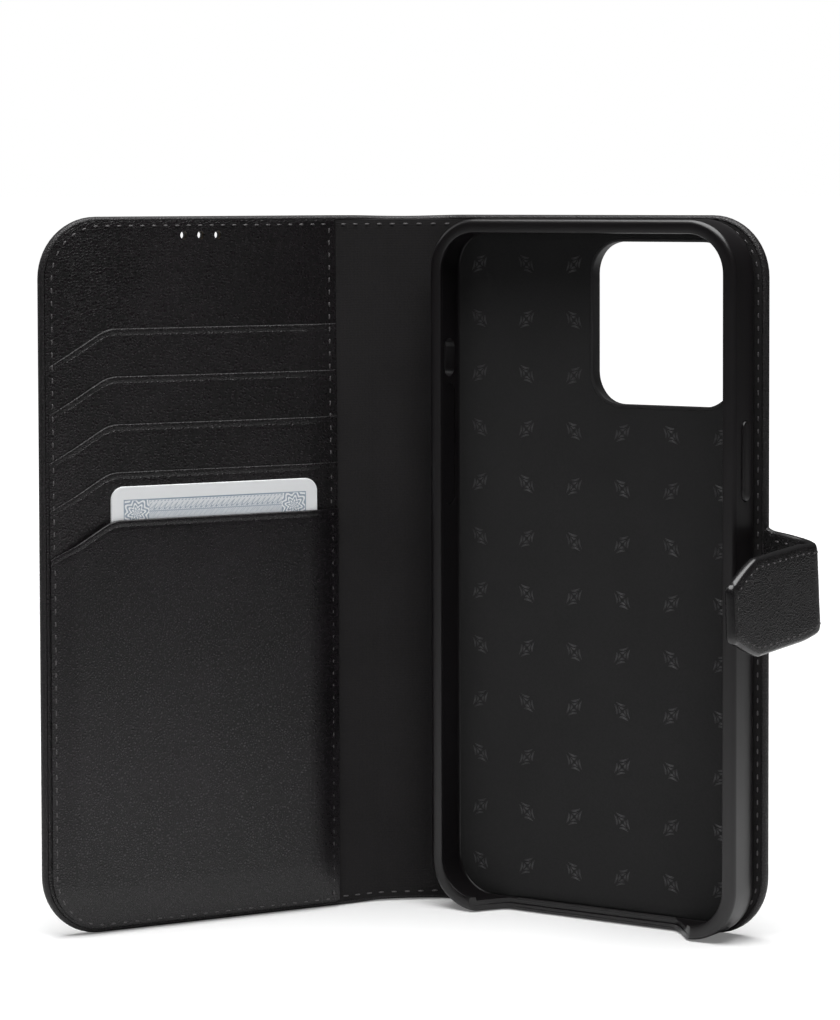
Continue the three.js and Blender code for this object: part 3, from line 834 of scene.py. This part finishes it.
SHEET = 0.4
GLUE = 0.05
for k in range(4):
    made = pocket(
        "pocket_panel_%d" % (k + 1),
        POCKET_TOP - POCKET_STEP * k,
        -(k + 1) * (SHEET + GLUE),
        -k * (SHEET + GLUE) - (0.16 if k == 0 else 0.04),
        0.06,
        INNER,
    )
    stand_for(made, "inner_leather", "card_pocket_%d" % (k + 1))
CARD_BACK = -(4 * (SHEET + GLUE)) - GLUE - 0.06
CARD_FRONT = CARD_BACK - 0.78
OUTER_SHEET = 0.5
made = pocket(
    "pocket_panel_5", POCKET_TOP - POCKET_STEP * 4, CARD_FRONT - OUTER_SHEET, CARD_FRONT - 0.06,
    0.3, SMOOTH, CARD_BACK + 0.07,
)
stand_for(made, "inner_leather", "card_pocket_5")

CARD_S = 18.1
CARD_W = 54.0
CARD_L = 85.6
CARD_Z = 19.7
card_outline = rounded(-CARD_W / 2, -CARD_L / 2, CARD_W / 2, CARD_L / 2, [3.2] * 4, 10)
CARD_EDGE = 0.12  # rounding of its edges
card = slab(
    card_outline,
    [(3, CARD_BACK), (CARD_EDGE, CARD_BACK), (0, CARD_BACK - CARD_EDGE),
     (0, CARD_FRONT + CARD_EDGE), (CARD_EDGE, CARD_FRONT), (3, CARD_FRONT)],
)
card = piece(
    "bank_card",
    card,
    card_print(CARD_W, CARD_L),
    lambda s, y, z: front_at(CARD_S + CARD_W / 2 + s, y, CARD_Z + CARD_L / 2 + z),
    body="card",
)
stand_for(card, "card_plastic", "card")


# ---------------- phone tray
def shell_at(x, y, z):
    return Vector((x, FACE_Y + y, z))


shell_outline = rounded(
    -SHELL_W / 2, SHELL_LOW[2], SHELL_W / 2, SHELL_HIGH[2], [SHELL_R] * 4, 20
)
BED_Y = -1.5
LIP_THICK = 1.3
KEY_MIDDLE = (SHELL_TOP + LIP_THICK + BED_Y) / 2
profile = [(8.0, -0.05), (2.6, -0.05)]
profile += [
    (2.4 - 2.4 * math.sin(math.radians(a)), -0.05 - 2.0 * (1 - math.cos(math.radians(a))))
    for a in range(0, 91, 15)
]
profile += [(0.0, -3.5), (0.0, -6.0)]
for k in range(0, 11):
    a = math.radians(9 * k)
    rounding = LIP_ROUND - LIP_ROUND * math.sin(a)
    profile.append((LIP_ROUND - LIP_ROUND * math.cos(a), SHELL_TOP + rounding))
LIP_SECTION = [
    (LIP - 0.3, 0.02), (LIP - 0.12, 0.1), (LIP - 0.03, 0.25), (LIP, 0.5), (LIP, 1.0),
    (LIP - 0.07, 1.2), (LIP - 0.25, 1.29), (WALL + 0.1, LIP_THICK), (WALL, 1.45),
]
profile += [(d, SHELL_TOP + below) for d, below in LIP_SECTION]
profile += [
    (WALL, -3.0), (WALL, -1.9), (WALL + 0.1, -1.5), (WALL + 0.35, -1.2), (WALL + 0.8, -1.05),
    (8.0, -1.05),
]
shell = slab(shell_outline, profile)


def prism_z(points, z0, z1):
    """A solid whose outline lies in X-Y."""
    return loft([[(x, y, z) for x, y in points] for z in (z0, z1)])


def gap_outline(sill):
    """Low stretch of the bottom wall: an S-shaped shoulder at each end."""
    outline = []
    steps = 14
    for wide, narrow in ((-31.5, -23.5), (31.5, 21.0)):
        side = [(wide, SHELL_TOP - 2)]
        for k in range(steps + 1):
            t = k / steps
            fall = (SHELL_TOP - 0.4) * (1 - t * t * (3 - 2 * t)) - sill * t * t * (3 - 2 * t)
            side.append((wide + (narrow - wide) * t, fall))
        outline += side if wide < 0 else list(reversed(side))
    return outline


foot_z = SHELL_LOW[2]


def pill(w, l):
    """Outline with round ends, from its half width and half length."""
    return rounded(-w, -l, w, l, [w - 0.01] * 4, 8)


def key_hole(side, z, length, width, depth0, depth1):
    """A pill-shaped hole along X through a side wall."""
    ring = pill(width / 2, length / 2)
    return loft([[(side * x, KEY_MIDDLE + a, z + b) for a, b in ring] for x in (depth0, depth1)])


POWER_LOW, POWER_HIGH = node_box("power_button")
VOLUME_LOW, VOLUME_HIGH = node_box("volume_rocker")
power_z = (POWER_LOW[2] + POWER_HIGH[2]) / 2
volume_z = (VOLUME_LOW[2] + VOLUME_HIGH[2]) / 2
KEY_WIDTH, KEY_FLANGE, KEY_PROUD = 3.5, 0.7, 0.5
KEY_CLEAR = 0.4  # a hole's extra width and length
power_length = POWER_HIGH[2] - POWER_LOW[2] - 2 * KEY_FLANGE
volume_length = VOLUME_HIGH[2] - VOLUME_LOW[2] - 2 * KEY_FLANGE
SWITCH_ABOVE = 50.05  # tray's middle to the silent switch's slot
half = SHELL_W / 2
shell = carve(
    shell,
    [
        through(camera_hole, -4, 2),
        prism_z(gap_outline(2.9), foot_z - 2, foot_z + 5),
        prism_z(gap_outline(2.2), foot_z + 1.35, foot_z + 5),
        key_hole(-1, TRAY_MIDDLE + SWITCH_ABOVE, 9.3, 4.6, half - 4, half + 2),
        key_hole(1, power_z, power_length + KEY_CLEAR, 3.9, half - 4, half + 2),
        key_hole(-1, volume_z, volume_length + KEY_CLEAR, 3.9, half - 4, half + 2),
        key_hole(1, power_z, power_length + 1.8, 5.3, half - 4, half - 1.25),
        key_hole(-1, volume_z, volume_length + 1.8, 5.3, half - 4, half - 1.25),
    ],
)
tray = piece("phone_tray", shell, PLASTIC, shell_at, smooth=32, body="back_cover")
stand_for(tray, "moulded_plastic", "phone_shell")

# Two fine ribs along the low stretch of the bottom wall
for k, (z, y) in enumerate(((foot_z + 0.55, -2.9), (foot_z + 2.6, -2.2))):
    turns = spaced(0, 2 * math.pi - 0.7, 0.7)
    section = [(y + 0.12 * math.cos(a) + 0.02, z + 0.3 * math.sin(a)) for a in turns]
    rib = loft([[(x, across, up) for across, up in section] for x in (-22.0, -21.6, 21.6, 22.0)])
    made = piece("port_rib_%d" % (k + 1), rib, PLASTIC, shell_at, smooth=60, body="back_cover")

bed_outline = inset(shell_outline, WALL + 0.35)
BED_SECTION = [(3, -1.1), (0.1, -1.1), (0.0, -1.25), (0.05, -1.42), (0.25, BED_Y), (3, BED_Y)]
bed = slab(bed_outline, BED_SECTION)
bed = carve(bed, [through(camera_hole, -4, 2)])
bed_piece = piece("tray_lining", bed, SUEDE, shell_at, body="back_cover")
stand_for(bed_piece, "microsuede", "shell_lining")


def stroke(points, width, height):
    """A low rounded ridge along a flat path, on the tray's floor."""
    loops = []
    count = len(points)
    for k, (x, z) in enumerate(points):
        a, b = points[max(0, k - 1)], points[min(count - 1, k + 1)]
        d = Vector((b[0] - a[0], b[1] - a[1])).normalized()
        side = Vector((-d.y, d.x)) * width / 2
        ends = 0.35 if k in (0, count - 1) else 1.0
        ring = []
        for across, up in ((-1, -0.02), (-0.7, 0.7), (0, 1), (0.7, 0.7), (1, -0.02)):
            reach = across * ends
            level = BED_Y + 0.01 - height * up * ends
            ring.append((x + side.x * reach, level, z + side.y * reach))
        loops.append(ring)
    return loft(loops)


def motif(x, z, turn, size=6.3):
    """Generic lozenge: two nested rhombs with open corners, their sides in double strokes."""
    strokes = []
    c, s = math.cos(turn), math.sin(turn)

    def put(px, pz):
        return (x + (px * c - pz * s) * size / 2, z + (px * s + pz * c) * size / 2)

    for r, gap in ((1.0, 0.16), (0.52, 0.1)):
        tips = [(0, r), (r * 0.62, 0), (0, -r), (-r * 0.62, 0)]
        for k in range(4):
            a, b = Vector(tips[k]), Vector(tips[(k + 1) % 4])
            p0, p1 = a.lerp(b, gap), b.lerp(a, gap)
            mid = (p0 + p1) / 2
            for apart in (0.0, 0.17):
                near = [p * (1 - apart / r) for p in (p0, mid * 0.9, p1)]
                strokes.append([put(*p) for p in near])
    return strokes


marks = bmesh.new()
PITCH = 13.25
MARK_ROOM = 3.2  # half a motif
for row in range(12):
    for col in range(6):
        x, z = -33.0 + col * PITCH, 156.7 - row * PITCH
        if x > CAMERA_LOW[0] - MARK_ROOM and z > CAMERA_LOW[2] - MARK_ROOM:
            continue
        for path in motif(x, z, math.radians(45 if (row + col) % 2 else -45)):
            one = stroke(path, 0.24, 0.08)
            mesh = bpy.data.meshes.new("stroke")
            one.to_mesh(mesh)
            one.free()
            marks.from_mesh(mesh)
            bpy.data.meshes.remove(mesh)
made = piece("tray_motifs", marks, FOIL, shell_at, smooth=70, body="back_cover")

# Camera opening's finishing ring: a closed section run round the opening
ring_section = [
    (0.0, -1.35), (0.0, 2.6), (0.04, 2.76), (0.12, 2.8), (0.2, 2.72), (0.34, 2.3),
    (0.62, 1.7), (0.8, 1.1), (0.8, -1.3), (0.76, -1.46), (0.62, -1.52), (0.1, -1.51),
]
loops = [[(x, y, z) for x, z in inset(camera_hole, d)] for d, y in ring_section]
made = piece("camera_ring", loft(loops, closed=True), MATT, shell_at, smooth=40, body="back_cover")
stand_for(made, "moulded_plastic", "camera_surround")


def key(name, node, side, z, length, body):
    """A crowned pill-shaped key with its flange inside the wall."""
    back = half - WALL + 0.2
    face = half + KEY_PROUD
    stations = [
        (0.5, back), (-KEY_FLANGE, back + 0.02), (-KEY_FLANGE, back + 0.6),
        (-KEY_FLANGE + 0.1, back + 0.7), (0.0, back + 0.75), (0.0, face - 0.32),
        (0.08, face - 0.14), (0.28, face - 0.02), (0.7, face + 0.04), (1.2, face + 0.06),
    ]
    loops = []
    for d, x in stations:
        ring = pill(KEY_WIDTH / 2 - d, length / 2 - d)
        loops.append([(side * x, KEY_MIDDLE + a, z + b) for a, b in ring])
    made = piece(name, loft(loops), PLASTIC, shell_at, smooth=40, body=body)
    stand_for(made, "moulded_plastic", node)


key("side_key", "power_button", 1, power_z, power_length, "power_button")
key("volume_key", "volume_rocker", -1, volume_z, volume_length, "volume_rocker")


# ---------------- closing tab
def tab_middle(u):
    """The tab droops a little as it leaves the cover."""
    if u < TAB_A:
        return MIDDLE
    if u < TAB_B:
        return MIDDLE - 0.6 * (u - TAB_A) / (TAB_B - TAB_A)
    return MIDDLE - 0.6 - 2.8 * (u - TAB_B) / (TAB_END - TAB_B)


def tab_half(u):
    """Half the tab's width: a flare at the cover's edge, parallel, then a blunt point."""
    edge = BACK_HIGH[0] - TAB_START
    w = TAB_HALF + 1.1 * math.exp(-abs(u - edge) / 1.3) - 0.8 * fade(u - TAB_B, 10)
    start = TAB_END - TAB_POINT
    if u > start:
        t = (u - start) / TAB_POINT
        w -= TAB_NARROW * (t * t * (3 - t) / 2 * 0.35 + t * 0.65)
    return w


def tab_roll(u):
    """The free end is rolled a little, its lower edge outward, but clears the closed cover."""
    return TAB_ROLL * min(1.0, max(0.0, (u - TAB_A) / (TAB_B + 2 - TAB_A)))


TIP_R = 1.8  # rounding of the point's corners
stations = spaced(0, 9, 1.5) + spaced(9.4, 14, 0.4) + spaced(15, TAB_END - 11.6, 1.5)
stations += spaced(TAB_END - TAB_POINT, TAB_END - TIP_R, 0.6)
lower = [(u, -tab_half(u)) for u in stations]
last_u, last_h = lower[-1]
quarter = [math.pi / 2 * k / 8 for k in range(1, 9)]
flat_half = lower + [
    (last_u + TIP_R * math.sin(a), last_h + TIP_R * (1 - math.cos(a))) for a in quarter
]
tab_points = flat_half + [(u, -w) for u, w in reversed(flat_half)]
tab_slab = slab(
    tab_points,
    [(3.2, 0.0), (1.7, -0.02), (1.2, 0.0), (0.7, 0.07), (0.3, 0.28), (0.06, 0.68), (0.0, 1.15),
     (0.06, 1.65), (0.3, 2.05), (0.7, 2.27), (1.2, TAB_THICK), (1.7, TAB_THICK + 0.03),
     (3.2, TAB_THICK)],
)
slices(tab_slab, 0, spaced(8, TAB_B + 7, 0.55) + spaced(TAB_B + 8, TAB_END - 3, 1.4))
slices(tab_slab, 2, [-6.5, -3.5, 0, 3.5, 6.5])
for v in tab_slab.verts:
    u, y, z = v.co
    inside = max(0.0, 1 - abs(z) / tab_half(u))
    crown = min(1.0, inside * 4)
    if y > TAB_THICK / 2:
        v.co.y += 0.22 * crown * (1 if u > TAB_B else 0.3) + soft(u, z, 7, 0.08) * crown
    thin = fade(min(0.0, u - TAB_A - 1.5), TAB_A + 1) if u < TAB_A + 1.5 else 1.0
    v.co.y = TAB_MID + (v.co.y - TAB_MID) * (0.45 + 0.55 * thin)
    v.co.y -= tab_roll(u) * z
    v.co.z = z + tab_middle(u)


def tab_rim(p):
    """The painted edge: what lies within 0.7 mm of the outline."""
    across = tab_half(p.x) - abs(p.z - tab_middle(p.x))
    return p.x > TAB_A and min(across, TAB_END - p.x) < 0.7


TAB_CUTS = (TAB_A + 4.6, TAB_B + 7.2)
tab_parts = (
    ("tab_strap", None, TAB_CUTS[0], "back_cover", "tab_root", TAB_A, 1.8,
     ("tab_anchor", "tab_root_leather", "tab_root_lining")),
    ("tab_elbow", TAB_CUTS[0], TAB_CUTS[1], "tab_root", "tab_side", TAB_B, 5.4,
     ("tab_side_leather", "tab_side_lining")),
    ("tab_end", TAB_CUTS[1], None, "tab_side", "tab_flap", TAB_C, 1.6,
     ("tab_flap_leather", "tab_flap_lining")),
)
for name, low, high, a, b, at, reach, nodes in tab_parts:
    cut = keep_between(tab_slab, low, high)
    part = piece(name, cut, STRAP, TAB.at, smooth=45, edge=tab_rim)
    stand_for(part, "outer_leather", *nodes)
    blend(part, TAB, at, reach, off=TAB_MID)
tab_slab.free()


# ---------------- stitching
def stitch_loops(bm, bend_at, a, b, y, width=0.42, rise=0.16):
    """One stitch from a to b on the flat piece, a rounded thread that dives at both ends."""
    steps = 6
    rows = []
    d = Vector((b[0] - a[0], b[1] - a[1]))
    side = Vector((-d.y, d.x)).normalized() * width / 2
    for k in range(steps + 1):
        t = k / steps
        lift = math.sin(math.pi * t) ** 0.5
        slim = 0.55 + 0.45 * lift
        c = Vector(a) + d * t
        row = []
        for j in range(8):
            ang = 2 * math.pi * j / 8
            off = math.cos(ang) * slim
            up = math.sin(ang) * 0.2 * slim + rise * lift - 0.12
            row.append(bm.verts.new(bend_at(c.x + side.x * off, y - up, c.y + side.y * off)))
        rows.append(row)
    for r0, r1 in zip(rows, rows[1:]):
        for j in range(8):
            k = (j + 1) % 8
            bm.faces.new((r0[j], r0[k], r1[k], r1[j]))
    bm.faces.new(list(reversed(rows[0])))
    bm.faces.new(rows[-1])


def walk(points, pitch, fill=0.42):
    """Stitches of even pitch along a polyline: pairs of ends."""
    pieces = []
    lengths = [math.dist(p, q) for p, q in zip(points, points[1:])]
    total = sum(lengths)
    count = max(1, round(total / pitch))

    def at(distance):
        for (p, q), length in zip(zip(points, points[1:]), lengths):
            if distance <= length or (p, q) == (points[-2], points[-1]):
                t = min(1.0, distance / length) if length else 0.0
                return (p[0] + (q[0] - p[0]) * t, p[1] + (q[1] - p[1]) * t)
            distance -= length

    step = total / count
    for k in range(count):
        middle = (k + 0.5) * step
        reach = step * fill / 2
        pieces.append((at(middle - reach), at(middle + reach)))
    return pieces


def thread_object(name, bm):
    for face in bm.faces:
        face.smooth = True
    bmesh.ops.recalc_face_normals(bm, faces=bm.faces)
    obj = link_object(name, bm, THREAD)
    return obj


def stitches(name, lines, bend_at, y, body=None, pitch=3.0):
    bm = bmesh.new()
    for line in lines:
        for a, b in walk(line, pitch):
            level = y(*a) if callable(y) else y
            stitch_loops(bm, bend_at, a, b, level)
    obj = thread_object(name, bm)
    if body:
        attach(obj, body)
    return obj


def pocket_level(s, z):
    """Outermost face of the front cover's inside at a point."""
    if s < POCKET_X or s > POCKET_LEFT:
        return 0.0 if s < POCKET_X else BASE_Y
    level = BASE_Y
    for k in range(4):
        if z < top_edge(s, POCKET_TOP - POCKET_STEP * k):
            level = -(k + 1) * (SHEET + GLUE)
    if z < top_edge(s, POCKET_TOP - POCKET_STEP * 4):
        level = CARD_FRONT - OUTER_SHEET
    return pared(s, level, z)


SEAM = 2.2
arc = [(math.cos(a), math.sin(a)) for a in spaced(0, math.pi / 2, 0.13)]
seam_r = CORNER - SEAM
left, right = FRONT_WIDTH - SEAM - 0.5, POCKET_X + 1.85
top_corner = [(left - seam_r + seam_r * c, HEIGHT - SEAM - seam_r + seam_r * s) for c, s in arc]
foot_corner = [(left - seam_r + seam_r * c, SEAM + seam_r - seam_r * s) for c, s in arc]
around = [(right, HEIGHT - SEAM)] + list(reversed(top_corner)) + foot_corner + [(right, SEAM)]
inner_seam = [(right, HEIGHT - SEAM), (right, SEAM)]
stitches("seam_front_cover", [around, inner_seam], front_at, pocket_level, "front_cover")


def case_line(u0, u1, z):
    return [(u, z) for u in spaced(u0, u1, 1.0)]


for name, u0, u1, a, b in (
    ("seam_spine_front", MID_SPINE, FRONT_CREASE + POCKET_X - 0.6, "spine", "front_cover"),
    ("seam_spine_back", BACK_WIDTH - 2, MID_SPINE, "back_cover", "spine"),
):
    lines = [case_line(u0, u1, HEIGHT - SEAM), case_line(u0, u1, SEAM)]
    obj = stitches(name, lines, CASE.at, 0.0)
    across_crease(obj, a)

edge_in = 1.95
back_r = CORNER - edge_in
ends = edge_in + back_r
top_bend = [(ends - back_r * c, HEIGHT - ends + back_r * s) for c, s in arc]
foot_bend = [(ends - back_r * c, ends - back_r * s) for c, s in arc]
back_seam = list(reversed(top_bend)) + foot_bend
stitches("seam_back_cover", [back_seam], CASE.at, 0.0, "back_cover")

# Tab seams, inside and out, split where the tab's pieces are
tab_in = 2.1
tab_line = [(u, -(tab_half(u) - tab_in)) for u in spaced(TAB_A - 0.5, TAB_END - tab_in - 1.2, 1.0)]
end_u = TAB_END - tab_in
tip_half = tab_line[-1][1]
tab_line += [(end_u - 0.3, tip_half + 0.7), (end_u, tip_half + 1.6)]
tab_run = tab_line + [(u, -z) for u, z in reversed(tab_line)]


def tab_inside(u, y, z):
    return TAB.at(u, y - tab_roll(u) * z, z + tab_middle(u))


def tab_outside(u, y, z):
    """The same, with y counted inward from the tab's outer face."""
    return tab_inside(u, 2 * TAB_FACE - y, z)


TAB_FACE = TAB_THICK + 0.1
whole = walk(tab_run, 2.5)
for face, level, at_face in (("outer", TAB_FACE, tab_outside), ("inner", 0.0, tab_inside)):
    for (part, low, high, a, b, at, reach, _), tag in zip(tab_parts, ("root", "elbow", "end")):
        bm = bmesh.new()
        for p, q in whole:
            mid = (p[0] + q[0]) / 2
            if (low is None or mid > low) and (high is None or mid <= high):
                stitch_loops(bm, at_face, p, q, level)
        obj = thread_object("seam_tab_%s_%s" % (face, tag), bm)
        blend(obj, TAB, at, reach, off=TAB_MID)


# ---------------- hidden CAD pieces
for name, material in (
    ("back_board", CARDBOARD),
    ("front_board", CARDBOARD),
    ("spine_board", CARDBOARD),
    ("front_steel_plate", STEEL),
    ("tab_magnet", MAGNET),
):
    node = frame["nodes"][name]
    node.data.materials.clear()
    node.data.materials.append(material)


# ---------------- floor, light, camera
FLOOR_GLOW = 0.16
FLOOR_SPREAD = 0.42  # metres at which the floor throws half its light back
FLOOR_REACH = 60.0


def floor_material():
    """White paper that glows, to the camera only, so that it fades into the background. To
    every other ray it gets darker with distance, which keeps its light on the case low."""
    mat, n, shader = new_material(
        "studio_floor", Roughness=0.9, Specular_IOR_Level=0.0, Emission_Color=(1, 1, 1, 1)
    )
    where = n.add("ShaderNodeTexCoord").outputs["Object"]
    mottle = n.noise(where, 3.0, 2.0)
    colour = n.ramp(mottle, [(0.3, (0.86, 0.86, 0.86)), (0.7, (0.88, 0.88, 0.88))])
    reach = n.add("ShaderNodeVectorMath", operation="LENGTH")
    n.link(where, reach.inputs[0])
    glow = n.step(reach.outputs["Value"], 0.1, 1.6, FLOOR_GLOW, 1.0)
    seen_only = n.add("ShaderNodeLightPath").outputs["Is Camera Ray"]
    away = n.math("DIVIDE", reach.outputs["Value"], FLOOR_SPREAD)
    away = n.math("DIVIDE", 1.0, n.math("ADD", 1.0, n.math("POWER", away, 1.7)))
    shade = n.add("ShaderNodeVectorMath", operation="SCALE")
    n.link(colour, shade.inputs[0])
    n.link(n.math("MAXIMUM", away, seen_only), shade.inputs["Scale"])
    n.link(shade.outputs[0], shader.inputs["Base Color"])
    n.link(n.times(glow, seen_only), shader.inputs["Emission Strength"])
    return mat


floor_mesh = bpy.data.meshes.new("floor")
floor_mesh.from_pydata(
    [(x * FLOOR_REACH, y * FLOOR_REACH, 0) for x, y in ((-1, -1), (1, -1), (1, 1), (-1, 1))],
    [],
    [(0, 1, 2, 3)],
)
floor_mesh.materials.append(floor_material())
floor = in_scene("floor", floor_mesh)

world = bpy.data.worlds.new("studio")
bpy.context.scene.world = world
world.use_nodes = True
tree = world.node_tree
tree.nodes.clear()
n = Nodes(tree)
seen = n.add("ShaderNodeBackground", in_Color=(1, 1, 1, 1), in_Strength=1.0)
room = n.add("ShaderNodeBackground", in_Color=(1, 1, 1, 1), in_Strength=0.03)
path = n.add("ShaderNodeLightPath")
mixed = n.add("ShaderNodeMixShader")
n.link(path.outputs["Is Camera Ray"], mixed.inputs["Fac"])
n.link(room.outputs[0], mixed.inputs[1])
n.link(seen.outputs[0], mixed.inputs[2])
n.link(mixed.outputs[0], n.add("ShaderNodeOutputWorld").inputs["Surface"])


def softbox(name, place, target, width, height, power):
    light = bpy.data.lights.new(name, "AREA")
    light.shape = "RECTANGLE"
    light.size, light.size_y = width, height
    light.energy = power
    obj = in_scene(name, light)
    obj.location = place
    aim = Vector(target) - Vector(place)
    obj.rotation_euler = aim.to_track_quat("-Z", "Y").to_euler()


softbox("top_light", (0.05, -0.1, 1.05), (0, 0, 0.05), 1.1, 1.1, 21)
softbox("left_light", (-1.3, -0.2, 0.75), (-0.05, 0, 0.08), 0.4, 1.0, 2)

# The camera stands in front and to the right, just above the case's top edge, looking a
# little down
CAMERA_AT = Vector((0.4122, -0.7094 + FACE_Y * MM, 0.17473))
YAW, PITCH_DOWN, ROLL = math.radians(33.16), math.radians(2.6), math.radians(-0.15)
level = Vector((math.cos(YAW), math.sin(YAW), 0))
forward = Vector((-math.sin(YAW), math.cos(YAW), 0))
ahead = forward * math.cos(PITCH_DOWN) - Vector((0, 0, math.sin(PITCH_DOWN)))
upright = level.cross(ahead)
right_axis = level * math.cos(ROLL) + upright * math.sin(ROLL)
up_axis = upright * math.cos(ROLL) - level * math.sin(ROLL)
camera_data = bpy.data.cameras.new("camera")
camera_data.sensor_width = 36.0
camera_data.lens = 121.765
camera_data.shift_y = -0.161
camera = in_scene("camera", camera_data)
turn = Matrix((right_axis, up_axis, -ahead)).transposed().to_4x4()
camera.matrix_world = Matrix.Translation(CAMERA_AT) @ turn
bpy.context.scene.camera = camera
bpy.context.scene.view_settings.view_transform = "Standard"
bpy.context.scene.view_settings.look = "None"
